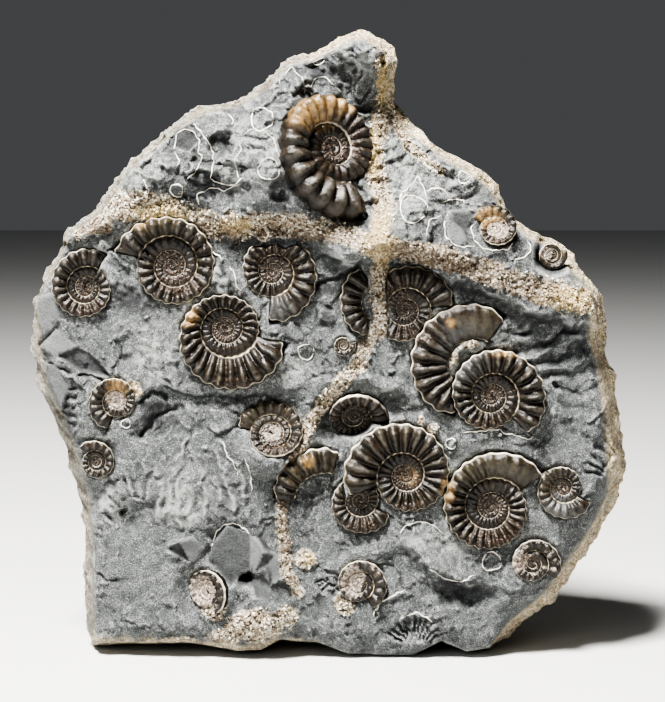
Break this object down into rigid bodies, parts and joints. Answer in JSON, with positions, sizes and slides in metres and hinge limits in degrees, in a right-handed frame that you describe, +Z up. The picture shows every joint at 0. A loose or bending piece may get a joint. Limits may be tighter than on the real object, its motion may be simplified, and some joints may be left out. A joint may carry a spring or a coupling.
{
  "type": "fossil ammonite cluster in rock",
  "caption": "Upright block of grey mudstone with a cluster of small ribbed spiral ammonite shells bonded in its face, standing on its flat foot.",
  "frame": {"origin": "on the surface the block stands on, under the middle of its bounding box", "axes": "+Z up, the block's longest extent; +Y back through its thickness, away from the face with the fossils; +X to the right as seen from the front"},
  "size_m": [0.1536, 0.0508, 0.1588],
  "materials": {
    "mudstone": "matt, fine-grained, broken",
    "fossil_shell": "polished dark brown calcite"
  },
  "bodies": {
    "root": {"matrix": "mudstone", "ammonite_crest": "fossil_shell", "ammonite_left_edge": "fossil_shell", "ammonite_upper_left": "fossil_shell", "ammonite_under_ledge": "fossil_shell", "ammonite_large_left": "fossil_shell", "ammonite_parted_right": "fossil_shell", "ammonite_parted_left": "fossil_shell", "ammonite_right_behind": "fossil_shell", "ammonite_right_front": "fossil_shell", "ammonite_sunken": "fossil_shell", "ammonite_middle_front": "fossil_shell", "ammonite_middle_behind": "fossil_shell", "ammonite_middle_crescent": "fossil_shell", "ammonite_lower_right": "fossil_shell", "ammonite_small_right": "fossil_shell", "ammonite_worn_middle": "fossil_shell", "ammonite_golden_left": "fossil_shell", "ammonite_small_left": "fossil_shell", "ammonite_tiny": "fossil_shell", "ammonite_worn_right": "fossil_shell", "ammonite_right_shoulder": "fossil_shell", "ammonite_broken_bottom": "fossil_shell", "ammonite_worn_bottom": "fossil_shell", "ammonite_broken_right": "fossil_shell"}
  },
  "joints": []
}
